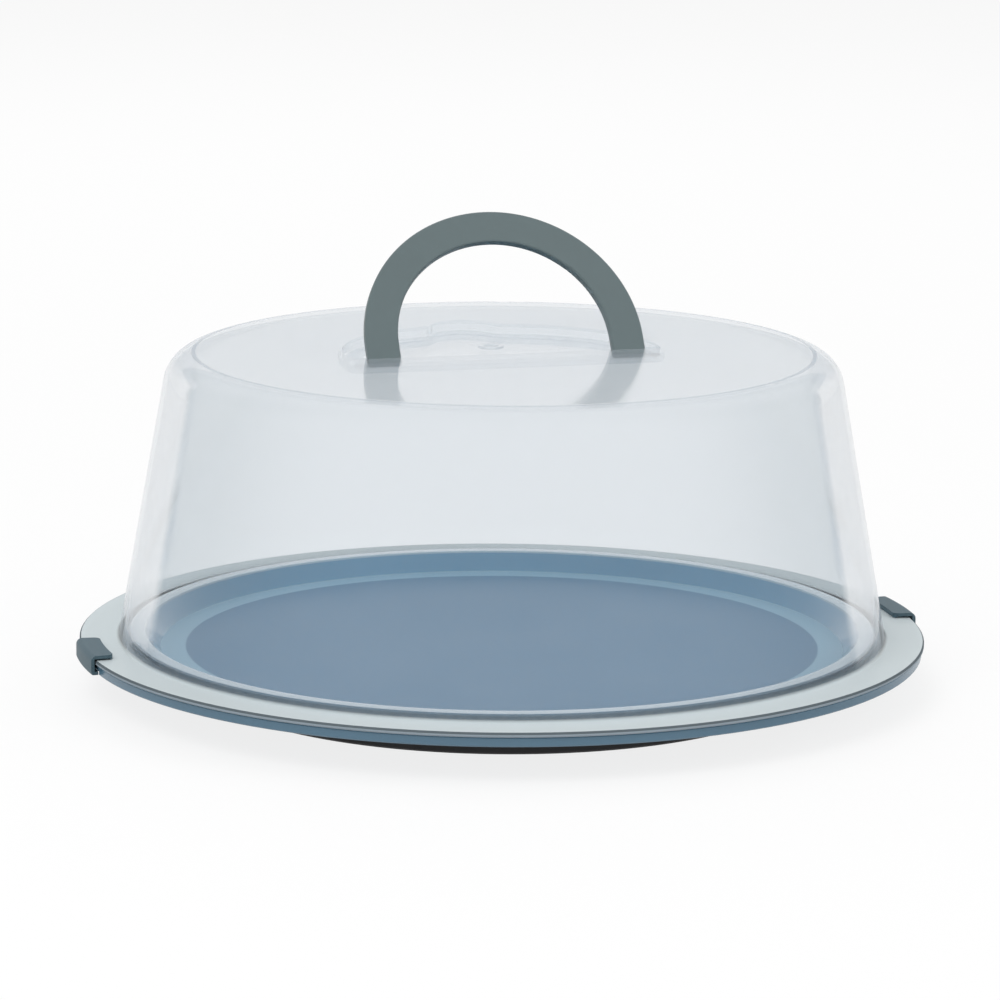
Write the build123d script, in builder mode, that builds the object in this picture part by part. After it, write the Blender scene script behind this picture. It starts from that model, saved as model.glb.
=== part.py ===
from build123d import *
from math import asin, cos, degrees, radians, sin, sqrt, tan
import os

# A round cake carrier: a tray on a soft foot ring, a translucent lift-off dome with a swinging
# handle, and two side clips that hook over the dome's flange.
# Millimetres. The origin is on the table under the centre of the tray. +Z is up, both clips lie
# on the X axis, the handle's hinge line runs parallel to it, and the handle folds towards +Y.

# ---------------------------------------------------------------- driving dimensions
# Overall
rim_radius = 176.0  # outer edge of the lid's flange
lid_top_z = 140.0  # flat top of the dome
seat_z = 19.4  # where the flange rests on the tray

# Tray
tray_rim_setback = 1.0  # how far the tray's rim stays inside the flange's edge
tray_wall = 2.2
rim_plate_thickness = 1.8
rim_edge_chamfer = 0.5
skirt_depth = 4.0  # from the seat down to the skirt's lower edge
skirt_thickness = 1.6
well_depth = 3.5  # from the seat down to the well's floor
well_wall_run = 4.6  # how far the well's wall leans outwards, from the floor to the rib's top
well_corner_radius = 3.0
rib_height = 3.6  # the rib that centres the dome, above the seat
rib_thickness = 2.4
rib_edge_chamfer = 0.9
rib_dome_clearance = 3.0  # between the rib and the inside of the dome's foot
foot_wall_radius = 124.2
foot_wall_thickness = 2.6
stiffener_height = 3.2
stiffener_thickness = 1.6
stiffener_ring_radii = (34.0, 80.0)
inner_stiffener_count = 12
outer_stiffener_count = 24
edge_stiffener_count = 24

# Foot ring, a soft channel pressed onto the foot wall
foot_ring_outer_wall = 2.0
foot_ring_inner_wall = 2.2
foot_ring_floor = 2.6  # below the foot wall
foot_ring_grip = 3.0  # how far its sides reach up the foot wall
foot_ring_edge_chamfer = 0.8

# Lid
flange_thickness = 2.0
flange_width = 16.2  # from the dome's foot to the rim
flange_edge_chamfer = 0.5
dome_wall_angle = 10.15  # from upright
dome_wall = 1.8
dome_shoulder_radius = 14.0
dome_foot_chamfer = 1.2

# Handle
handle_hinge_y = -5.0  # the hinge line lies this far in front of the lid's centre
handle_outer_radius = 59.2
handle_width = 14.0
handle_thickness = 4.2
handle_edge_radius = 1.0
handle_ring_above_hinge = 7.3
handle_lean = 34.8  # from upright, towards the back, at rest

# Handle pocket in the lid
handle_proud = 0.1  # how far the folded handle stands above the lid's top
handle_floor_clearance = 0.3
pocket_ring_clearance = 7.3  # round the outside of the folded handle
pocket_front_clearance = 0.8  # in front of the handle's hubs
pocket_corner_radius = 3.5
pocket_wall = 1.6
pocket_edge_radius = 0.8
finger_notch_radius = 14.0
finger_notch_reach = 11.0
finger_notch_corner_radius = 6.0

# Pivots of the handle, moulded on an arm at each end of the pocket
pivot_radius = 1.4
pivot_reach = 5.0  # into the handle
pivot_running_clearance = 0.05
pivot_end_clearance = 0.5
pivot_tip_chamfer = 0.4
pivot_arm_radius = 1.9
pivot_arm_clearance = 0.4  # from the handle's side

# Clips
clip_arc_width = 34.0
clip_wall = 1.4
clip_side_clearance = 0.6  # between the flange's edge and the clip's wall
clip_hook_reach = 7.6  # inwards from the flange's edge
clip_hook_lip = 1.5
clip_hook_clearance = 0.15
clip_relief_clearance = 0.75
clip_corner_radius = 2.4
clip_lower_corner_radius = 0.9
clip_plan_corner_radius = 2.6
clip_lower_lip_depth = 3.2
clip_lower_lip_gap = 2.6  # from the seat down to the lower lip
clip_swing_room = 0.9  # from the hinge line out to the lower lip, beyond the lugs

# Clip hinges
clip_pin_radius = 0.8
clip_barrel_radius = 1.7
clip_pin_running_clearance = 0.05
clip_barrel_length = 14.0
barrel_below_seat = 0.4  # between the seat and the top of the barrel
lug_gap = 0.3
lug_thickness = 3.2
notch_end_clearance = 0.6
notch_depth_clearance = 0.4

# ---------------------------------------------------------------- derived sizes
flange_top_z = seat_z + flange_thickness
wall_lean = tan(radians(dome_wall_angle))
dome_skin_shift = dome_wall / cos(radians(dome_wall_angle))
dome_foot_radius = rim_radius - flange_width
dome_apex_radius = dome_foot_radius - (lid_top_z - flange_top_z) * wall_lean
dome_inner_foot_radius = dome_foot_radius + flange_thickness * wall_lean - dome_skin_shift
tray_rim_radius = rim_radius - tray_rim_setback
rim_plate_bottom_z = seat_z - rim_plate_thickness
skirt_bottom_z = seat_z - skirt_depth
well_floor_z = seat_z - well_depth
well_bottom_z = well_floor_z - tray_wall
rib_top_z = seat_z + rib_height
rib_outer_radius = dome_inner_foot_radius - rib_dome_clearance
rib_inner_radius = rib_outer_radius - rib_thickness
well_floor_radius = rib_inner_radius - well_wall_run
well_slope = well_wall_run / (rib_top_z - well_floor_z)
foot_wall_inner_radius = foot_wall_radius - foot_wall_thickness
foot_wall_bottom_z = foot_ring_floor
foot_ring_outer_radius = foot_wall_radius + foot_ring_outer_wall
foot_ring_inner_radius = foot_wall_inner_radius - foot_ring_inner_wall
foot_ring_height = foot_ring_floor + foot_ring_grip
handle_inner_radius = handle_outer_radius - handle_width
handle_axis_z = lid_top_z + handle_proud - handle_thickness / 2
pocket_floor_z = lid_top_z + handle_proud - handle_thickness - handle_floor_clearance
pocket_centre_y = handle_hinge_y + handle_ring_above_hinge
pocket_radius = handle_outer_radius + pocket_ring_clearance
pocket_front_y = handle_hinge_y - handle_thickness / 2 - pocket_front_clearance
hinge_z = seat_z - barrel_below_seat - clip_barrel_radius
hinge_radius = tray_rim_radius - clip_barrel_radius
clip_hook_inner_radius = rim_radius - clip_hook_reach
clip_inner_radius = rim_radius + clip_side_clearance
clip_outer_radius = clip_inner_radius + clip_wall
clip_half_angle = degrees(asin(clip_arc_width / 2 / clip_outer_radius))
clip_top_z = flange_top_z + clip_relief_clearance + clip_wall
clip_lip_top_z = seat_z - clip_lower_lip_gap
clip_lip_bottom_z = hinge_z - clip_barrel_radius
lug_inner_y = clip_barrel_length / 2 + lug_gap
lug_outer_y = lug_inner_y + lug_thickness
notch_half_width = clip_arc_width / 2 + notch_end_clearance
notch_inner_x = hinge_radius - clip_barrel_radius - notch_depth_clearance

os.makedirs("parts", exist_ok=True)


def save(part, name):
    part.label = name
    export_step(part, f"parts/{name}.step")


# ---------------------------------------------------------------- tray
def clear_of_notches(angle):
    """True where an edge rib at this angle stays outside both clip notches."""
    return abs(rim_radius * sin(radians(angle))) > notch_half_width + stiffener_thickness


def make_tray():
    wall_bottom_r = well_floor_radius + tray_wall * (sqrt(1 + well_slope**2) - well_slope)
    wall_top_r = wall_bottom_r + (rim_plate_bottom_z - well_bottom_z) * well_slope
    rim_inner_r = tray_rim_radius - skirt_thickness
    with BuildPart() as tray:
        with BuildSketch(Plane.XZ):
            with BuildLine():
                Polyline(
                    (0, well_bottom_z),
                    (wall_bottom_r, well_bottom_z),
                    (wall_top_r, rim_plate_bottom_z),
                    (rim_inner_r, rim_plate_bottom_z),
                    (rim_inner_r, skirt_bottom_z),
                    (tray_rim_radius, skirt_bottom_z),
                    (tray_rim_radius, seat_z),
                    (rib_outer_radius, seat_z),
                    (rib_outer_radius, rib_top_z),
                    (rib_inner_radius, rib_top_z),
                    (well_floor_radius, well_floor_z),
                    (0, well_floor_z),
                    (0, well_bottom_z),
                )
            make_face()
        revolve(axis=Axis.Z)
        well_corner = tray.edges().filter_by(GeomType.CIRCLE).filter_by(
            lambda e: abs(e.radius - well_floor_radius) < 0.01 and abs(e.center().Z - well_floor_z) < 0.01
        )
        fillet(well_corner, well_corner_radius)
        rib_edges = tray.edges().filter_by(GeomType.CIRCLE).filter_by(
            lambda e: abs(e.center().Z - rib_top_z) < 0.01
        )
        chamfer(rib_edges, rib_edge_chamfer)
        rim_edges = tray.edges().filter_by(GeomType.CIRCLE).filter_by(
            lambda e: abs(e.radius - tray_rim_radius) < 0.01
        )
        chamfer(rim_edges, rim_edge_chamfer)

        # Foot wall and the rings and ribs that stiffen the floor
        with BuildSketch(Plane.XY.offset(foot_wall_bottom_z)):
            Circle(foot_wall_radius)
            Circle(foot_wall_inner_radius, mode=Mode.SUBTRACT)
        extrude(amount=well_bottom_z - foot_wall_bottom_z)
        with BuildSketch(Plane.XY.offset(well_bottom_z)):
            for ring_radius in sorted(stiffener_ring_radii, reverse=True):
                Circle(ring_radius)
                Circle(ring_radius - stiffener_thickness, mode=Mode.SUBTRACT)
            inner_start = min(stiffener_ring_radii) - stiffener_thickness / 2
            inner_end = foot_wall_inner_radius + stiffener_thickness / 2
            with PolarLocations((inner_start + inner_end) / 2, inner_stiffener_count):
                Rectangle(inner_end - inner_start, stiffener_thickness)
            outer_start = foot_wall_radius - stiffener_thickness / 2
            outer_end = well_floor_radius
            with PolarLocations((outer_start + outer_end) / 2, outer_stiffener_count):
                Rectangle(outer_end - outer_start, stiffener_thickness)
        extrude(amount=-stiffener_height)

        # Ribs under the rim plate, between the well and the skirt
        edge_start = wall_top_r - stiffener_thickness
        edge_end = tray_rim_radius - skirt_thickness / 2
        edge_angles = [(i + 0.5) * 360 / edge_stiffener_count for i in range(edge_stiffener_count)]
        with BuildSketch(Plane.XY.offset(rim_plate_bottom_z)):
            for angle in filter(clear_of_notches, edge_angles):
                with PolarLocations((edge_start + edge_end) / 2, 1, start_angle=angle):
                    Rectangle(edge_end - edge_start, stiffener_thickness)
        extrude(amount=skirt_bottom_z - rim_plate_bottom_z)

        # A notch in the skirt and the plate for each clip, and its two hinge lugs
        skirt_cut_x = sqrt(rim_inner_r**2 - notch_half_width**2) - notch_depth_clearance
        for side in (-1, 1):
            with BuildSketch(Plane.XY.offset(skirt_bottom_z)):
                with Locations((side * rim_radius, 0)):
                    Rectangle(2 * (rim_radius - skirt_cut_x), 2 * notch_half_width)
            extrude(amount=rim_plate_bottom_z - skirt_bottom_z, mode=Mode.SUBTRACT)
            with BuildSketch(Plane.XY.offset(skirt_bottom_z)):
                with Locations((side * rim_radius, 0)):
                    Rectangle(2 * (rim_radius - notch_inner_x), 2 * lug_inner_y)
            extrude(amount=skirt_depth, mode=Mode.SUBTRACT)
            lug_planes = [Plane.XZ.offset(-lug_inner_y), Plane.XZ.offset(lug_outer_y)]
            for lug_plane in lug_planes:
                with BuildSketch(lug_plane):
                    with BuildLine():
                        lug_half = clip_barrel_radius
                        left = side * (hinge_radius - lug_half)
                        right = side * (hinge_radius + lug_half)
                        Line((left, rim_plate_bottom_z), (right, rim_plate_bottom_z))
                        Line((right, rim_plate_bottom_z), (right, hinge_z))
                        ThreePointArc(
                            (right, hinge_z), (side * hinge_radius, hinge_z - lug_half), (left, hinge_z)
                        )
                        Line((left, hinge_z), (left, rim_plate_bottom_z))
                    make_face()
                extrude(amount=-lug_thickness)
            with BuildSketch(Plane.XZ):
                with Locations((side * hinge_radius, hinge_z)):
                    Circle(clip_pin_radius)
            extrude(amount=lug_outer_y, both=True, mode=Mode.SUBTRACT)
    save(tray.part, "tray")


# ---------------------------------------------------------------- foot ring
def make_foot_ring():
    with BuildPart() as foot_ring:
        with BuildSketch(Plane.XZ):
            with BuildLine():
                Polyline(
                    (foot_ring_inner_radius, 0),
                    (foot_ring_outer_radius, 0),
                    (foot_ring_outer_radius, foot_ring_height),
                    (foot_wall_radius, foot_ring_height),
                    (foot_wall_radius, foot_wall_bottom_z),
                    (foot_wall_inner_radius, foot_wall_bottom_z),
                    (foot_wall_inner_radius, foot_ring_height),
                    (foot_ring_inner_radius, foot_ring_height),
                    (foot_ring_inner_radius, 0),
                )
            make_face()
        revolve(axis=Axis.Z)
        side_edges = foot_ring.edges().filter_by(GeomType.CIRCLE).filter_by(
            lambda e: min(abs(e.radius - foot_ring_outer_radius), abs(e.radius - foot_ring_inner_radius)) < 0.01
        )
        chamfer(side_edges, foot_ring_edge_chamfer)
    save(foot_ring.part, "foot_ring")


# ---------------------------------------------------------------- lid
def pocket_outline(grow):
    """The pocket's plan, grown outwards by a wall: a circle round the folded handle, cut off
    straight in front of the hinge, with a finger notch at the back."""
    radius = pocket_radius + grow
    front_y = pocket_front_y - grow
    notch_y = pocket_centre_y + pocket_radius + finger_notch_reach - finger_notch_radius
    with BuildSketch(Plane.XY) as outline:
        with Locations((0, pocket_centre_y)):
            Circle(radius)
        with Locations((0, front_y)):
            Rectangle(4 * radius, 4 * radius, align=(Align.CENTER, Align.MAX), mode=Mode.SUBTRACT)
        fillet(outline.vertices(), pocket_corner_radius + grow)
        with Locations((0, notch_y)):
            Circle(finger_notch_radius + grow)
        notch_corners = outline.vertices().filter_by(lambda v: v.Y > pocket_centre_y + pocket_radius / 2)
        fillet(notch_corners, finger_notch_corner_radius)
    return outline.sketch


def pocket_block(grow, top_z, bottom_z, edge_radius):
    """The pocket's outline as a solid with a rounded bottom edge."""
    with BuildPart() as block:
        with BuildSketch(Plane.XY.offset(top_z)):
            add(pocket_outline(grow))
        extrude(amount=bottom_z - top_z)
        fillet(block.faces().sort_by(Axis.Z)[0].edges(), edge_radius)
    return block.part


def make_lid():
    pocket_shell = pocket_block(
        pocket_wall, lid_top_z - dome_wall / 2, pocket_floor_z - pocket_wall, pocket_edge_radius + pocket_wall / 2
    )
    pocket_hollow = pocket_block(0, lid_top_z + dome_wall, pocket_floor_z, pocket_edge_radius)
    with BuildPart() as lid:
        # Dome and flange
        with BuildSketch(Plane.XZ):
            with BuildLine():
                Polyline(
                    (0, seat_z),
                    (rim_radius, seat_z),
                    (rim_radius, flange_top_z),
                    (dome_foot_radius, flange_top_z),
                    (dome_apex_radius, lid_top_z),
                    (0, lid_top_z),
                    (0, seat_z),
                )
            make_face()
        revolve(axis=Axis.Z)
        shoulder = lid.edges().filter_by(GeomType.CIRCLE).group_by(Axis.Z)[-1]
        fillet(shoulder, dome_shoulder_radius)
        flange_edge = lid.edges().filter_by(GeomType.CIRCLE).filter_by(
            lambda e: abs(e.radius - rim_radius) < 0.01
        )
        chamfer(flange_edge, flange_edge_chamfer)
        foot_edge = lid.edges().filter_by(GeomType.CIRCLE).filter_by(
            lambda e: abs(e.radius - dome_foot_radius) < 0.01 and abs(e.center().Z - flange_top_z) < 0.01
        )
        chamfer(foot_edge, dome_foot_chamfer)

        # The inside, open downwards
        inner_apex_r = dome_inner_foot_radius - (lid_top_z - dome_wall - seat_z) * wall_lean
        inner_shoulder = dome_shoulder_radius - dome_wall
        half_turn = radians((90 - dome_wall_angle) / 2)
        tangent = inner_shoulder * tan(half_turn)
        wall_top = (
            inner_apex_r + tangent * sin(radians(dome_wall_angle)),
            lid_top_z - dome_wall - tangent * cos(radians(dome_wall_angle)),
        )
        with BuildSketch(Plane.XZ):
            with BuildLine():
                Line((0, seat_z), (dome_inner_foot_radius, seat_z))
                Line((dome_inner_foot_radius, seat_z), wall_top)
                RadiusArc(wall_top, (inner_apex_r - tangent, lid_top_z - dome_wall), -inner_shoulder)
                Line((inner_apex_r - tangent, lid_top_z - dome_wall), (0, lid_top_z - dome_wall))
                Line((0, lid_top_z - dome_wall), (0, seat_z))
            make_face()
        revolve(axis=Axis.Z, mode=Mode.SUBTRACT)

        # Handle pocket: its walls and floor hang from the top, then the hollow is cut
        add(pocket_shell)
        add(pocket_hollow, mode=Mode.SUBTRACT)
        # An arm on the floor at each end of the pocket, and the pivot on its tip
        arm_start = handle_outer_radius + pivot_arm_clearance
        arm_end = pocket_radius + pocket_wall / 2
        pivot_tip = handle_outer_radius - pivot_reach
        for side in (-1, 1):
            arm_face = Plane(
                origin=(side * arm_start, handle_hinge_y, handle_axis_z), x_dir=(0, side, 0), z_dir=(side, 0, 0)
            )
            with BuildSketch(arm_face):
                Circle(pivot_arm_radius)
                with Locations((0, pocket_floor_z - handle_axis_z)):
                    Rectangle(2 * pivot_arm_radius, handle_axis_z - pocket_floor_z, align=(Align.CENTER, Align.MIN))
            extrude(amount=arm_end - arm_start)
            with BuildPart(mode=Mode.PRIVATE) as pivot:
                with BuildSketch(Plane(arm_face.origin, x_dir=(0, side, 0), z_dir=(-side, 0, 0))):
                    Circle(pivot_radius)
                extrude(amount=arm_start - pivot_tip)
                chamfer(pivot.faces().sort_by(Axis.X)[0 if side > 0 else -1].edges(), pivot_tip_chamfer)
            add(pivot)
    save(lid.part, "lid")


# ---------------------------------------------------------------- handle
def handle_plane():
    """The plane of the handle at rest: its X is the hinge line and its Y runs up the handle."""
    lean = radians(handle_lean)
    return Plane(origin=(0, handle_hinge_y, handle_axis_z), x_dir=(1, 0, 0), z_dir=(0, -cos(lean), sin(lean)))


def make_handle():
    up_start = handle_ring_above_hinge
    outer = handle_outer_radius
    inner = handle_inner_radius
    with BuildPart() as handle:
        with BuildSketch(handle_plane()):
            with BuildLine():
                Line((outer, 0), (outer, up_start))
                ThreePointArc((outer, up_start), (0, up_start + outer), (-outer, up_start))
                Polyline((-outer, up_start), (-outer, 0), (-inner, 0), (-inner, up_start))
                ThreePointArc((-inner, up_start), (0, up_start + inner), (inner, up_start))
                Polyline((inner, up_start), (inner, 0), (outer, 0))
            make_face()
        extrude(amount=handle_thickness / 2, both=True)
        grip_edges = handle.faces().filter_by(handle_plane()).edges().filter_by(
            lambda e: handle_plane().to_local_coords(e.center()).Y > 0.1
        )
        fillet(grip_edges, handle_edge_radius)
        # Round hub at the foot of each leg, turned about the hinge line, and the pivot's hole
        hub_plane = Plane.XZ.offset(-handle_hinge_y)
        for side in (-1, 1):
            with BuildSketch(hub_plane):
                with Locations((side * (outer + inner) / 2, handle_axis_z)):
                    RectangleRounded(handle_width, handle_thickness, handle_edge_radius)
                with Locations((side * (outer + inner) / 2, handle_axis_z - handle_thickness / 2)):
                    Rectangle(2 * handle_width, handle_thickness, mode=Mode.SUBTRACT)
            revolve(axis=Axis((0, handle_hinge_y, handle_axis_z), (1, 0, 0)))
            hole_start = outer - pivot_reach - pivot_end_clearance
            hole_face = Plane(origin=(side * hole_start, handle_hinge_y, handle_axis_z), z_dir=(side, 0, 0))
            with BuildSketch(hole_face):
                Circle(pivot_radius + pivot_running_clearance)
            extrude(amount=outer - hole_start, mode=Mode.SUBTRACT)
    save(handle.part, "handle")


# ---------------------------------------------------------------- clips
def make_clips():
    half = radians(clip_half_angle)
    hook_z = flange_top_z + clip_hook_clearance
    relief_z = flange_top_z + clip_relief_clearance
    lip_inner_r = clip_inner_radius - clip_lower_lip_depth
    start_plane = Plane(origin=(0, 0, 0), x_dir=(cos(half), -sin(half), 0), z_dir=(-sin(half), -cos(half), 0))
    with BuildPart() as clip_right:
        with BuildSketch(start_plane):
            with BuildLine():
                Polyline(
                    (clip_hook_inner_radius, hook_z),
                    (clip_hook_inner_radius + clip_hook_lip, hook_z),
                    (clip_hook_inner_radius + clip_hook_lip, relief_z),
                    (clip_inner_radius, relief_z),
                    (clip_inner_radius, clip_lip_top_z),
                    (lip_inner_r, clip_lip_top_z),
                    (lip_inner_r, clip_lip_bottom_z),
                    (clip_outer_radius, clip_lip_bottom_z),
                    (clip_outer_radius, clip_top_z),
                    (clip_hook_inner_radius, clip_top_z),
                    (clip_hook_inner_radius, hook_z),
                )
            make_face()
        revolve(axis=Axis.Z, revolution_arc=2 * clip_half_angle)
        plan_corners = clip_right.edges().filter_by(Axis.Z).filter_by(
            lambda e: abs(sqrt(e.center().X ** 2 + e.center().Y ** 2) - clip_hook_inner_radius) < 0.01
        )
        fillet(plan_corners, clip_plan_corner_radius)
        outer_edges = clip_right.edges().filter_by(GeomType.CIRCLE).filter_by(
            lambda e: abs(e.radius - clip_outer_radius) < 0.01
        )
        fillet(outer_edges.sort_by(Axis.Z)[-1], clip_corner_radius)
        fillet(outer_edges.sort_by(Axis.Z)[0], clip_lower_corner_radius)
        # Hinge barrel and the web that joins it to the wall
        with BuildSketch(Plane.XZ):
            with Locations((hinge_radius, hinge_z)):
                Circle(clip_barrel_radius)
            with Locations(((hinge_radius + clip_outer_radius - clip_wall / 2) / 2, hinge_z - clip_barrel_radius / 2)):
                Rectangle(clip_outer_radius - clip_wall / 2 - hinge_radius, clip_barrel_radius)
        extrude(amount=clip_barrel_length / 2, both=True)
        # Room for the tray's lugs, and for the rim plate as the clip swings down
        lug_room_x = hinge_radius + clip_barrel_radius + lug_gap
        lug_room_end = lug_outer_y + lug_gap
        swing_room_x = hinge_radius + clip_swing_room
        barrel_end = clip_barrel_length / 2
        with BuildSketch(Plane.XY.offset(clip_lip_top_z)):
            for side in (-1, 1):
                with Locations((lug_room_x, side * (barrel_end + lug_room_end) / 2)):
                    Rectangle(2 * clip_barrel_length, lug_room_end - barrel_end, align=(Align.MAX, Align.CENTER))
                with Locations((swing_room_x, side * (lug_room_end + clip_arc_width) / 2)):
                    Rectangle(2 * clip_barrel_length, clip_arc_width - lug_room_end, align=(Align.MAX, Align.CENTER))
        extrude(amount=clip_lip_bottom_z - clip_lip_top_z, mode=Mode.SUBTRACT)
        with BuildSketch(Plane.XZ):
            with Locations((hinge_radius, hinge_z)):
                Circle(clip_pin_radius + clip_pin_running_clearance)
        extrude(amount=clip_barrel_length, both=True, mode=Mode.SUBTRACT)
    save(clip_right.part, "clip_right")
    with BuildPart() as clip_left:
        mirror(clip_right.part, about=Plane.YZ)
    save(clip_left.part, "clip_left")


def make_clip_pins():
    for side, name in ((-1, "clip_pin_left"), (1, "clip_pin_right")):
        with BuildPart() as pin:
            with BuildSketch(Plane.XZ):
                with Locations((side * hinge_radius, hinge_z)):
                    Circle(clip_pin_radius)
            extrude(amount=lug_outer_y, both=True)
        save(pin.part, name)


make_tray()
make_foot_ring()
make_lid()
make_handle()
make_clips()
make_clip_pins()
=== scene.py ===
from math import atan, cos, pi, radians, sin, tan

import bmesh
import bpy
from mathutils import Matrix, Vector


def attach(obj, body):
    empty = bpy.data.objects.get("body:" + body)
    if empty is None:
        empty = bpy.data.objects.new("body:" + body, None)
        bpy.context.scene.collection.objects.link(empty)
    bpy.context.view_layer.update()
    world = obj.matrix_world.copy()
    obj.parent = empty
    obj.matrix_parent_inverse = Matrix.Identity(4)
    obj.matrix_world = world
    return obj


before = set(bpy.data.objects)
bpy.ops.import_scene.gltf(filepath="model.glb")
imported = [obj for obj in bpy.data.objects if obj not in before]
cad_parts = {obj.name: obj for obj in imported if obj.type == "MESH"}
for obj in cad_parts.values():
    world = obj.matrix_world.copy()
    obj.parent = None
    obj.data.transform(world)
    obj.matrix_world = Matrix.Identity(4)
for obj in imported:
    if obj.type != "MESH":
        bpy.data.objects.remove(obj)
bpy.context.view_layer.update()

# ---------------------------------------------------------------- camera and light, in metres
IMAGE_SIZE = 1000  # pixels, both ways
CAMERA_DISTANCE = 2.000  # level distance from the carrier's axis
CAMERA_HEIGHT = 0.4803
CAMERA_PITCH = 0.199  # radians below level
CAMERA_TURN = 0.265  # radians round to the carrier's left
CAMERA_ROLL = 0.008
FOCAL_PIXELS = 4904.3
AXIS_OFFSET_PIXELS = 2.97  # the carrier's axis is this far right of the picture's middle
SENSOR_WIDTH = 36.0  # millimetres
SEEN_FROM, SEEN_TO = 0.1, 100  # nearest and furthest distance that the camera shows
WORLD_LEVEL = 0.6
FLOOR_REACH = 15.0
FLOOR_DROP = 0.0002  # keeps the floor clear of the foot ring's face
FLOOR_COLOUR = (0.85, 0.85, 0.85)
BACKDROP_LEVEL = 1.03
BACKDROP_SHARE = 0.8  # the rest of the floor's colour is lit paper, which holds the shadow
WHITE = (1, 1, 1)
LAMP_AIM = (0, 0, 0.07)
LAMPS = (  # name, place, size, watts
    ("key", (-1.1, -1.3, 1.9), 1.4, 22.0),
    ("fill", (1.7, -1.0, 1.2), 1.2, 7.0),
    ("back", (0.3, 1.9, 1.6), 1.4, 10.0),
)

# ---------------------------------------------------------------- colours, as screen values
TRAY_BLUE = (82, 114, 134)
# painted shade: the rib's side, in the gap under the lid's foot, darker than the tray's own blue
RIB_SIDE_SHADE_BLUE = (56, 98, 122)
# painted highlight: the crown's top, far paler than the tray's own blue, for the light it reflects
CROWN_HIGHLIGHT_BLUE = (140, 168, 184)
# painted shadow on the well's floor, and a painted reflection on its paler border, both on the
# tray's one blue plastic
WELL_FLOOR_SHADOW_BLUE = (56, 110, 144)
WELL_BORDER_REFLECTION_BLUE = (128, 168, 190)
# painted light: the well's wall, lighter than its floor though of the same plastic
WELL_WALL_LIT_BLUE = (64, 128, 162)
HANDLE_SLATE = (97, 111, 113)
CLIP_SLATE = (68, 91, 101)
FOOT_BLACK = (40, 40, 41)
PIN_GREY = (176, 178, 181)

# ---------------------------------------------------------------- moulded plastic
# The fine grain of a face: its height in metres, and its scale
POLISHED_GRAIN = (2e-6, 1500.0)
SATIN_GRAIN = (5e-5, 1600.0)
RUBBER_GRAIN = (8e-5, 1300.0)
DRAWN_GRAIN = (2e-5, 1500.0)
GRAIN_DETAIL = 2.0
PLASTIC_IOR = 1.49
POLISH_ROUGHNESS = 0.06  # of the clear gloss over a polished face
CLOUD_SCALE = 22.0
PATCH_SCALE, PATCH_DETAIL, PATCH_ROUGHNESS = 60.0, 4.0, 0.6
PATCH_EDGE = (0.54, 0.72)  # of the noise that sets where a face is rubbed
HAIRLINE_SCALE, HAIRLINE_WIDTH, HAIRLINE_STRETCH = 55.0, 0.006, 1.6
HAIRLINE_DETAIL, HAIRLINE_ROUGHNESS = 2.0, 0.4
NOISE_DETAIL, NOISE_ROUGHNESS, NOISE_MIDDLE = 3.0, 0.5, 0.5
PATCH_WEAR, HAIRLINE_WEAR = 0.5, 0.5
DEEPER, FULLER, PALER, PALE_LIFT = 0.95, 1.04, 1.1, 0.02  # shades of a finish's own colour
CLOUD_ROUGHNESS = 0.08
RUBBED_ROUGHNESS = 0.22
GRAIN_STRENGTH = 0.35

# ---------------------------------------------------------------- the tray, in metres
# A pair says where a zone's edge starts and ends, as a radius or a height
WELL_BELOW = (0.0231, 0.0228)
WELL_WITHIN = (0.1488, 0.1484)
WELL_ABOVE = (0.0135, 0.0145)
WELL_BORDER = (0.1315, 0.1325)  # where the well's floor turns from painted shadow to a paler border of painted reflection
# where the well's wall with its painted light begins
WELL_WALL = (0.01595, 0.01605)
# where the rib's side carries painted shade
RIB_SIDE_BEYOND = (0.1543, 0.1550)
RIB_SIDE_WITHIN = (0.1560, 0.1558)
RIB_SIDE_ABOVE = (0.0192, 0.0194)
WELL_ROUGHNESS = 0.38
# The crown's outline, as radius and height
CROWN_UNDERSIDE = [(0.1490, 0.0156), (0.1530, 0.0200)]
CROWN_SIDE_FOOT = (0.15542, 0.0214)
CROWN_OUTER_TOP = (0.15542, 0.0236)
CROWN_INNER_TOP = (0.1490, 0.0236)
CROWN_INNER_FOOT = (0.1421, 0.0156)
CROWN_OUTER_ROUND, CROWN_INNER_ROUND = 0.0009, 0.0006
CROWN_STEPS, CROWN_OUTER_POINTS, CROWN_INNER_POINTS = 288, 8, 6

# ---------------------------------------------------------------- the lid's plastic
LID_CLEAR = (0.946, 0.957, 0.966)  # let through by each face
LID_CLEAR_SLANT = (0.918, 0.932, 0.941)
LID_MILK = (0.92, 0.945, 0.97)
LID_SHOULDER_SHADE = (0.86, 0.875, 0.89)  # painted shade: a thin darker line where the flat top meets the shoulder
FLANGE_MILK = (0.785, 0.865, 0.885)
# painted shade on the flange's rim, and darker on its top corner, for the dark tray seen through
# the plate's edge
RIM_EDGE_SHADE = (0.245, 0.30, 0.35)
RIM_CORNER_SHADE = (0.11, 0.135, 0.15)
FACING_BLEND = 0.5  # makes the facing value 0 head on and 1 along the face
# Shares of milk
LID_HAZE = 0.03  # milk met head on, per face
LID_SLANT_HAZE = 0.62
SLANT_HAZE_POWER = 5.0
CLOUD_HAZE = 0.01
LINE_HAZE = 0.02
MILK_FRONT_SHARE = 0.5  # of the milk that lights the side it is seen from
LID_FLANGE_HAZE = 0.74  # the flange's top face
LID_FOOT_HAZE = 0.95  # its underside, where it lies on the tray
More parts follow.
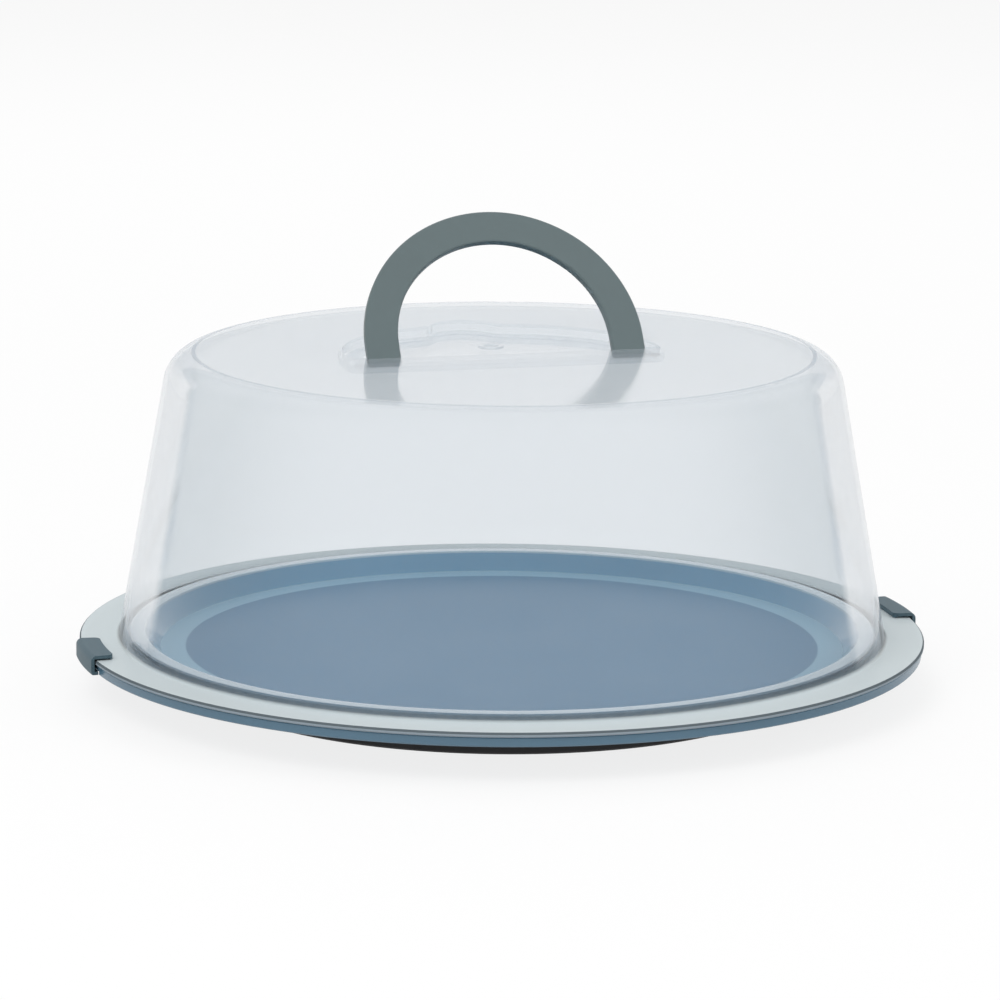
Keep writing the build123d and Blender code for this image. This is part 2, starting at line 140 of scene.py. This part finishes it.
# shares of the painted shade on the rim and on its corner
RIM_SHADE_SHARE = 0.85
CORNER_SHADE_SHARE = 0.95
TOP_TURN = 0.13  # how much less the flat top counts as slanted
DEEP_FROM, DEEP_TO = (0.10, 0.46), (0.66, 0.60)  # facing values between which the wall deepens
TOP_DEEP_LOSS = 0.85
# Shares of gloss
LID_MIRROR = 0.5  # at the very edge of the dome
EDGE_MIRROR_POWER = 16.0
LEAST_MIRROR, WALL_MIRROR = 0.02, 0.40
MIRROR_FROM = (0.595, 0.635)  # facing values
TOP_MIRROR_LOSS, LOW_MIRROR_LOSS = 0.20, 0.30
FLANGE_MIRROR_LOSS, RIM_MIRROR_LOSS = 0.6, 0.5
GLOSS_ROUGHNESS, CLOUD_GLOSS, LINE_GLOSS = 0.05, 0.05, 0.1
# Marks in the plastic
LID_CLOUD_SCALE = 14.0
LID_LINE_SCALE, LID_LINE_WIDTH, LID_LINE_STRETCH = 38.0, 0.004, 1.3
RIPPLE_SCALE, RIPPLE_DETAIL, RIPPLE_STRENGTH, RIPPLE_HEIGHT = 9.0, 2.0, 0.2, 0.0004
# Zones: where each one's edge starts and ends, as a radius or a height in metres
TOP_ABOVE = (0.1335, 0.1375)
FOOT_BEYOND, FOOT_BELOW = (0.1570, 0.1578), (0.0200, 0.0196)
FLANGE_BEYOND = (0.1590, 0.1610)
RIM_BEYOND = (0.1753, 0.1755)
CORNER_ABOVE = (0.0204, 0.0207)
LINE_BEYOND, LINE_WITHIN, LINE_ABOVE = (0.1272, 0.1279), (0.1295, 0.1288), (0.1387, 0.1390)
LOW_WALL = (0.055, 0.020)

# ---------------------------------------------------------------- the gate mark, in metres
GATE_PLACE = (0.004, 0.036)
GATE_FLOOR = 0.1356
GATE_INNER, GATE_OUTER, GATE_TOP_OUTER = 0.0030, 0.0056, 0.0052  # radii
GATE_HEIGHT, GATE_SINK, GATE_ROUND = 0.0005, 0.0004, 0.0002
GATE_STEPS, GATE_CORNER_POINTS = 64, 4

CREASE_ANGLE = 35  # degrees: a sharper fold stays an edge
# The numbers of a Mix node's colour sockets, whose names its other sockets share
MIX_SHARE, MIX_FIRST, MIX_SECOND, MIX_RESULT = 0, 6, 7, 2


def make_camera():
    level = Vector((sin(CAMERA_TURN), cos(CAMERA_TURN), 0))
    right = Vector((cos(CAMERA_TURN), -sin(CAMERA_TURN), 0))
    ahead = level * cos(CAMERA_PITCH) - Vector((0, 0, sin(CAMERA_PITCH)))
    up = level * sin(CAMERA_PITCH) + Vector((0, 0, cos(CAMERA_PITCH)))
    rolled_right = right * cos(CAMERA_ROLL) + up * sin(CAMERA_ROLL)
    rolled_up = up * cos(CAMERA_ROLL) - right * sin(CAMERA_ROLL)
    swing = atan(AXIS_OFFSET_PIXELS / FOCAL_PIXELS)
    aimed = ahead * cos(swing) - rolled_right * sin(swing)
    aimed_right = rolled_right * cos(swing) + ahead * sin(swing)
    data = bpy.data.cameras.new("camera")
    data.sensor_width = SENSOR_WIDTH
    data.lens = FOCAL_PIXELS / IMAGE_SIZE * SENSOR_WIDTH
    data.clip_start = SEEN_FROM
    data.clip_end = SEEN_TO
    camera = bpy.data.objects.new("camera", data)
    place = -level * CAMERA_DISTANCE + Vector((0, 0, CAMERA_HEIGHT))
    facing = Matrix((aimed_right, rolled_up, -aimed)).transposed().to_4x4()
    camera.matrix_world = Matrix.Translation(place) @ facing
    bpy.context.scene.collection.objects.link(camera)
    bpy.context.scene.camera = camera


# ---------------------------------------------------------------- shader maths
class Value:
    """A node's output, with the usual arithmetic on numbers."""

    def __init__(self, finish, socket):
        self.finish = finish
        self.socket = socket

    def maths(self, operation, *values):
        sockets = dict(enumerate(values))
        return self.finish.node("ShaderNodeMath", {"operation": operation}, sockets)

    def __add__(self, other):
        return self.maths("ADD", self, other)

    def __sub__(self, other):
        return self.maths("SUBTRACT", self, other)

    def __rsub__(self, other):
        return self.maths("SUBTRACT", other, self)

    def __mul__(self, other):
        return self.maths("MULTIPLY", self, other)

    def __pow__(self, other):
        return self.maths("POWER", self, other)

    __radd__ = __add__
    __rmul__ = __mul__

    def larger(self, other):
        return self.maths("MAXIMUM", self, other)

    def step(self, start, end):
        """0 at start and 1 at end, eased between them. It falls where start is larger."""
        sockets = {"Value": self, "From Min": start, "From Max": end, "To Min": 0.0, "To Max": 1.0}
        return self.finish.node("ShaderNodeMapRange", {"interpolation_type": "SMOOTHSTEP"}, sockets)


class Finish:
    """A node tree for one surface finish, or for the world."""

    def __init__(self, tree):
        self.tree = tree
        tree.nodes.clear()

    def node(self, kind, settings, sockets, output=0):
        """A new node and its output. Sockets that share a name are given by their number."""
        made = self.tree.nodes.new(kind)
        for name, value in settings.items():
            setattr(made, name, value)
        for name, value in sockets.items():
            if isinstance(value, Value):
                self.tree.links.new(value.socket, made.inputs[name])
            else:
                made.inputs[name].default_value = value
        if isinstance(output, tuple):
            return [Value(self, made.outputs[which]) for which in output]
        return Value(self, made.outputs[output]) if made.outputs else None

    def mixed(self, share, first, second):
        """The first shader, with this share of the second."""
        return self.node("ShaderNodeMixShader", {}, {0: share, 1: first, 2: second})

    def plain(self, kind, colour):
        """A diffuse, translucent or transparent shader of one colour."""
        return self.node("ShaderNodeBsdf" + kind, {}, {"Color": (*colour, 1)})


def new_finish(name):
    material = bpy.data.materials.new(name)
    material.use_nodes = True
    return material, Finish(material.node_tree)


def put_on(node, material):
    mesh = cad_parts[node].data
    mesh.materials.clear()
    mesh.materials.append(material)


def linear(colour):
    """A colour written as screen values from 0 to 255, as linear light. None is near black."""
    return tuple(((value / 255 + 0.055) / 1.055) ** 2.4 for value in colour)


# ---------------------------------------------------------------- studio
def background_share(finish):
    """1 on the rays that show the backdrop: straight, mirrored or through clear plastic."""
    kinds = ("Is Camera Ray", "Is Glossy Ray", "Is Transmission Ray")
    straight, mirrored, through = finish.node("ShaderNodeLightPath", {}, {}, kinds)
    return straight.larger(mirrored).larger(through)


def make_world():
    world = bpy.data.worlds.new("studio")
    world.use_nodes = True
    bpy.context.scene.world = world
    finish = Finish(world.node_tree)
    strength = WORLD_LEVEL + (1.0 - WORLD_LEVEL) * background_share(finish)
    sockets = {"Color": (*WHITE, 1), "Strength": strength}
    background = finish.node("ShaderNodeBackground", {}, sockets)
    finish.node("ShaderNodeOutputWorld", {}, {"Surface": background})


def make_floor():
    mesh = bpy.data.meshes.new("floor")
    signs = ((-1, -1), (1, -1), (1, 1), (-1, 1))
    corners = [(x * FLOOR_REACH, y * FLOOR_REACH, 0) for x, y in signs]
    mesh.from_pydata(corners, [], [(0, 1, 2, 3)])
    floor = bpy.data.objects.new("floor", mesh)
    floor.location.z = -FLOOR_DROP
    bpy.context.scene.collection.objects.link(floor)
    material, finish = new_finish("floor_paper")
    paper = finish.plain("Diffuse", FLOOR_COLOUR)
    glow_sockets = {"Color": (*WHITE, 1), "Strength": BACKDROP_LEVEL}
    glow = finish.node("ShaderNodeEmission", {}, glow_sockets)
    surface = finish.mixed(background_share(finish) * BACKDROP_SHARE, paper, glow)
    finish.node("ShaderNodeOutputMaterial", {}, {"Surface": surface})
    mesh.materials.append(material)


def make_lamps():
    for name, place, size, power in LAMPS:
        lamp = bpy.data.lights.new(name, "AREA")
        lamp.shape = "DISK"
        lamp.size = size
        lamp.energy = power
        made = bpy.data.objects.new(name, lamp)
        made.location = place
        aim = Vector(LAMP_AIM) - Vector(place)
        made.rotation_euler = aim.to_track_quat("-Z", "Y").to_euler()
        made.visible_glossy = False
        bpy.context.scene.collection.objects.link(made)


# ---------------------------------------------------------------- finishes
def noise(finish, place, scale, detail=NOISE_DETAIL, roughness=NOISE_ROUGHNESS):
    sockets = {"Vector": place, "Scale": scale, "Detail": detail, "Roughness": roughness}
    return finish.node("ShaderNodeTexNoise", {}, sockets, "Fac")


def blend_colours(finish, share, first, second):
    """Two linear colours mixed by a value."""
    colours = (first, second)
    first, second = [made if isinstance(made, Value) else (*made, 1) for made in colours]
    settings = {"data_type": "RGBA", "blend_type": "MIX"}
    sockets = {MIX_SHARE: share, MIX_FIRST: first, MIX_SECOND: second}
    return finish.node("ShaderNodeMix", settings, sockets, MIX_RESULT)


def stretched(finish, place, across):
    """Coordinates for marks that run along the piece's x axis."""
    sockets = {0: place, 1: (1.0, across, across)}
    return finish.node("ShaderNodeVectorMath", {"operation": "MULTIPLY"}, sockets)


def radius_and_height(finish, place):
    x, y, z = finish.node("ShaderNodeSeparateXYZ", {}, {0: place}, (0, 1, 2))
    return (x * x + y * y) ** 0.5, z


def hairlines(finish, place, scale, width):
    """Thin wandering lines, 1 on a line: the places where a noise crosses its middle."""
    wave = noise(finish, place, scale, HAIRLINE_DETAIL, HAIRLINE_ROUGHNESS) - NOISE_MIDDLE
    return wave.maths("ABSOLUTE", wave).step(width, 0.0)


def tray_zones(finish, place, shade, roughness):
    """The tray's zones: painted shade on the side of its rib, and the well, with painted light on
    its wall, a painted reflection on its floor's border and painted shadow on the floor within.
    """
    radius, height = radius_and_height(finish, place)
    in_well = height.step(*WELL_BELOW) * radius.step(*WELL_WITHIN) * height.step(*WELL_ABOVE)
    # Painted shadow on the well's floor, a painted reflection on its border, painted light on its
    # wall
    floor_shadow_colour, border_reflection_colour = linear(WELL_FLOOR_SHADOW_BLUE), linear(WELL_BORDER_REFLECTION_BLUE)
    well = blend_colours(finish, radius.step(*WELL_BORDER), floor_shadow_colour, border_reflection_colour)
    well = blend_colours(finish, height.step(*WELL_WALL), well, linear(WELL_WALL_LIT_BLUE))
    # Painted shade on the rib's side, where it faces the lid's foot
    shaded_side = radius.step(*RIB_SIDE_BEYOND) * radius.step(*RIB_SIDE_WITHIN)
    shaded_side = shaded_side * height.step(*RIB_SIDE_ABOVE)
    shade = blend_colours(finish, shaded_side, shade, linear(RIB_SIDE_SHADE_BLUE))
    shade = blend_colours(finish, in_well, shade, well)
    return shade, roughness + (WELL_ROUGHNESS - roughness) * in_well


def moulded(name, screen_colour, grain, roughness, wear, zoned=False, polish=0.0, metal=0.0):
    """Moulded plastic: a faint cloudiness, a fine moulded grain, and rubbed patches that are
    paler and duller, with hairline scratches. A zoned finish is the tray's. The pins' steel is
    made the same way, as metal."""
    material, finish = new_finish(name)
    colour = linear(screen_colour)
    place = finish.node("ShaderNodeTexCoord", {}, {}, "Object")
    cloud = noise(finish, place, CLOUD_SCALE)
    patches = noise(finish, place, PATCH_SCALE, PATCH_DETAIL, PATCH_ROUGHNESS).step(*PATCH_EDGE)
    along = stretched(finish, place, HAIRLINE_STRETCH)
    lines = hairlines(finish, along, HAIRLINE_SCALE, HAIRLINE_WIDTH)
    rubbed = (patches * PATCH_WEAR + lines * HAIRLINE_WEAR) * wear
    deep = tuple(light * DEEPER for light in colour)
    full = tuple(min(1, light * FULLER) for light in colour)
    pale = tuple(min(1, light * PALER + PALE_LIFT) for light in colour)
    shade = blend_colours(finish, rubbed, blend_colours(finish, cloud, deep, full), pale)
    # A zoned finish carries the tray's painted light and shade
    if zoned:
        shade, roughness = tray_zones(finish, place, shade, roughness)
    roughness = roughness + CLOUD_ROUGHNESS * (cloud - NOISE_MIDDLE) + RUBBED_ROUGHNESS * rubbed
    grain_height, grain_scale = grain
    bump_sockets = {
        "Strength": GRAIN_STRENGTH,
        "Distance": grain_height,
        "Height": noise(finish, place, grain_scale, GRAIN_DETAIL),
    }
    body_sockets = {
        "Base Color": shade,
        "Roughness": roughness,
        "Metallic": metal,
        "IOR": PLASTIC_IOR,
        "Coat Weight": polish,
        "Coat Roughness": POLISH_ROUGHNESS,
        "Normal": finish.node("ShaderNodeBump", {}, bump_sockets),
    }
    body = finish.node("ShaderNodeBsdfPrincipled", {}, body_sockets)
    finish.node("ShaderNodeOutputMaterial", {}, {"Surface": body})
    return material


def lid_finish():
    """Milky clear polypropylene. Each wall has two faces, so every share is per face. Where the
    wall is met at a slant the milk thickens and the surface mirrors more."""
    material, finish = new_finish("lid_milky_plastic")
    place = finish.node("ShaderNodeTexCoord", {}, {}, "Object")
    radius, height = radius_and_height(finish, place)
    top = height.step(*TOP_ABOVE)
    foot = radius.step(*FOOT_BEYOND) * height.step(*FOOT_BELOW)
    flange = radius.step(*FLANGE_BEYOND).larger(foot)
    rim = radius.step(*RIM_BEYOND)
    corner = rim * height.step(*CORNER_ABOVE)
    line = radius.step(*LINE_BEYOND) * radius.step(*LINE_WITHIN) * height.step(*LINE_ABOVE)

    slant = finish.node("ShaderNodeLayerWeight", {}, {"Blend": FACING_BLEND}, "Facing")
    turned = slant - TOP_TURN * top
    cloud = noise(finish, place, LID_CLOUD_SCALE)
    along = stretched(finish, place, LID_LINE_STRETCH)
    lines = hairlines(finish, along, LID_LINE_SCALE, LID_LINE_WIDTH)

    # The clear plastic, deeper at a slant, and the milk in it
    deep_share = slant.step(*DEEP_FROM) * turned.step(*DEEP_TO) * (1 - TOP_DEEP_LOSS * top)
    clear = finish.plain("Transparent", LID_CLEAR)
    deep = finish.plain("Transparent", LID_CLEAR_SLANT)
    glassy = finish.mixed(deep_share, clear, deep)
    # Painted shade: the thin line where the flat top meets the shoulder lets less through
    glassy = finish.mixed(line, glassy, finish.plain("Transparent", LID_SHOULDER_SHADE))
    front = finish.plain("Diffuse", LID_MILK)
    through = finish.plain("Translucent", LID_MILK)
    milk = finish.mixed(MILK_FRONT_SHARE, through, front)
    milk_share = LID_HAZE + LID_SLANT_HAZE * slant ** SLANT_HAZE_POWER
    milk_share = milk_share + CLOUD_HAZE * (cloud - NOISE_MIDDLE) + LINE_HAZE * lines
    wall = finish.mixed(milk_share, glassy, milk)

    # The flange lies on the tray and scatters more; at its rim, where one looks along the plate,
    # painted shade darkens the rim and more so its top corner, for the dark tray seen through the
    # plate's edge.
    flange_share = flange * (LID_FLANGE_HAZE + (LID_FOOT_HAZE - LID_FLANGE_HAZE) * foot)
    wall = finish.mixed(flange_share, wall, finish.plain("Diffuse", FLANGE_MILK))
    wall = finish.mixed(rim * RIM_SHADE_SHARE, wall, finish.plain("Diffuse", RIM_EDGE_SHADE))
    wall = finish.mixed(corner * CORNER_SHADE_SHARE, wall, finish.plain("Diffuse", RIM_CORNER_SHADE))

    # The gloss over it
    ripple = noise(finish, place, RIPPLE_SCALE, RIPPLE_DETAIL)
    bump_sockets = {"Strength": RIPPLE_STRENGTH, "Distance": RIPPLE_HEIGHT, "Height": ripple}
    gloss_sockets = {
        "Color": (*WHITE, 1),
        "Roughness": GLOSS_ROUGHNESS + CLOUD_GLOSS * cloud + LINE_GLOSS * lines,
        "Normal": finish.node("ShaderNodeBump", {}, bump_sockets),
    }
    shine = finish.node("ShaderNodeBsdfGlossy", {}, gloss_sockets)
    wall_mirror = WALL_MIRROR - TOP_MIRROR_LOSS * top - LOW_MIRROR_LOSS * height.step(*LOW_WALL)
    mirror = LEAST_MIRROR + wall_mirror * turned.step(*MIRROR_FROM)
    mirror = mirror + LID_MIRROR * slant ** EDGE_MIRROR_POWER
    # The painted shade line gets no gloss
    mirror = mirror * (1 - line) * (1 - FLANGE_MIRROR_LOSS * flange) * (1 - RIM_MIRROR_LOSS * rim)
    finish.node("ShaderNodeOutputMaterial", {}, {"Surface": finish.mixed(mirror, wall, shine)})
    return material


# ---------------------------------------------------------------- pieces
def lathe(name, outline, steps, centre=(0, 0)):
    """A closed ring turned round an upright axis, from its outline of radius and height."""
    mesh = bpy.data.meshes.new(name)
    built = bmesh.new()
    rings = []
    for step in range(steps):
        angle = 2 * pi * step / steps
        ring = []
        for radius, height in outline:
            place = (centre[0] + radius * cos(angle), centre[1] + radius * sin(angle), height)
            ring.append(built.verts.new(place))
        rings.append(ring)
    for ring, following in zip(rings, rings[1:] + rings[:1]):
        for k in range(len(outline)):
            built.faces.new((ring[k - 1], ring[k], following[k], following[k - 1]))
    bmesh.ops.recalc_face_normals(built, faces=built.faces)
    built.to_mesh(mesh)
    built.free()
    mesh.shade_smooth()
    mesh.set_sharp_from_angle(angle=radians(CREASE_ANGLE))
    piece = bpy.data.objects.new(name, mesh)
    bpy.context.scene.collection.objects.link(piece)
    return piece


def round_corner(before, corner, after, radius, count):
    """Points of the arc that rounds a corner of an outline."""
    corner, before, after = Vector(corner), Vector(before), Vector(after)
    inward, outward = (before - corner).normalized(), (after - corner).normalized()
    half = inward.angle(outward) / 2
    centre = corner + (inward + outward).normalized() * radius / sin(half)
    start = corner + inward * radius / tan(half)
    end = corner + outward * radius / tan(half)
    points = []
    for k in range(count + 1):
        toward = (start - centre).lerp(end - centre, k / count).normalized()
        points.append(tuple(centre + toward * radius))
    return points


def make_rib_crown():
    """The broad polished top of the tray's rib, with its side outwards and the slope from it
    down to the well."""
    outline = CROWN_UNDERSIDE + [CROWN_SIDE_FOOT]
    outer_corner = (CROWN_SIDE_FOOT, CROWN_OUTER_TOP, CROWN_INNER_TOP)
    inner_corner = (CROWN_OUTER_TOP, CROWN_INNER_TOP, CROWN_INNER_FOOT)
    outline += round_corner(*outer_corner, CROWN_OUTER_ROUND, CROWN_OUTER_POINTS)
    outline += round_corner(*inner_corner, CROWN_INNER_ROUND, CROWN_INNER_POINTS)
    outline += [CROWN_INNER_FOOT]
    crown = lathe("tray_rib_crown", outline, CROWN_STEPS)
    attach(crown, "tray")
    return crown


def make_gate_mark():
    """The small raised ring left on the pocket's floor where the lid was moulded."""
    sunk, crest = GATE_FLOOR - GATE_SINK, GATE_FLOOR + GATE_HEIGHT
    outer_foot, inner_foot = (GATE_OUTER, GATE_FLOOR), (GATE_INNER, GATE_FLOOR)
    outer_crest, inner_crest = (GATE_TOP_OUTER, crest), (GATE_INNER, crest)
    outline = [(GATE_INNER, sunk), (GATE_OUTER, sunk), outer_foot]
    for corner in ((outer_foot, outer_crest, inner_crest), (outer_crest, inner_crest, inner_foot)):
        outline += round_corner(*corner, GATE_ROUND, GATE_CORNER_POINTS)
    mark = lathe("lid_gate_mark", outline, GATE_STEPS, GATE_PLACE)
    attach(mark, "lid")
    return mark


def dress_pieces():
    tray_blue = moulded(
        "tray_blue_grey", TRAY_BLUE, POLISHED_GRAIN, roughness=0.24, wear=0.05, zoned=True
    )
    # The crown is the tray's plastic, painted paler as a highlight
    crown_highlight_blue = moulded(
        "crown_blue_grey_painted_highlight", CROWN_HIGHLIGHT_BLUE, POLISHED_GRAIN,
        roughness=0.08, wear=0.05, zoned=True, polish=1.0,
    )
    grip_slate = moulded("grip_slate", HANDLE_SLATE, SATIN_GRAIN, roughness=0.42, wear=0.3)
    clip_slate = moulded("clip_slate", CLIP_SLATE, SATIN_GRAIN, roughness=0.56, wear=0.3)
    foot_black = moulded("foot_black_rubber", FOOT_BLACK, RUBBER_GRAIN, roughness=0.66, wear=0.5)
    pin_steel = moulded("pin_steel", PIN_GREY, DRAWN_GRAIN, roughness=0.3, wear=0.4, metal=1.0)
    lid_milk = lid_finish()
    put_on("tray", tray_blue)
    make_rib_crown().data.materials.append(crown_highlight_blue)
    put_on("foot_ring", foot_black)
    put_on("lid", lid_milk)
    make_gate_mark().data.materials.append(lid_milk)
    put_on("handle", grip_slate)
    for node in ("clip_left", "clip_right"):
        put_on(node, clip_slate)
    for node in ("clip_pin_left", "clip_pin_right"):
        put_on(node, pin_steel)


dress_pieces()
make_camera()
make_world()
make_floor()
make_lamps()
bpy.context.scene.view_settings.view_transform = "Standard"
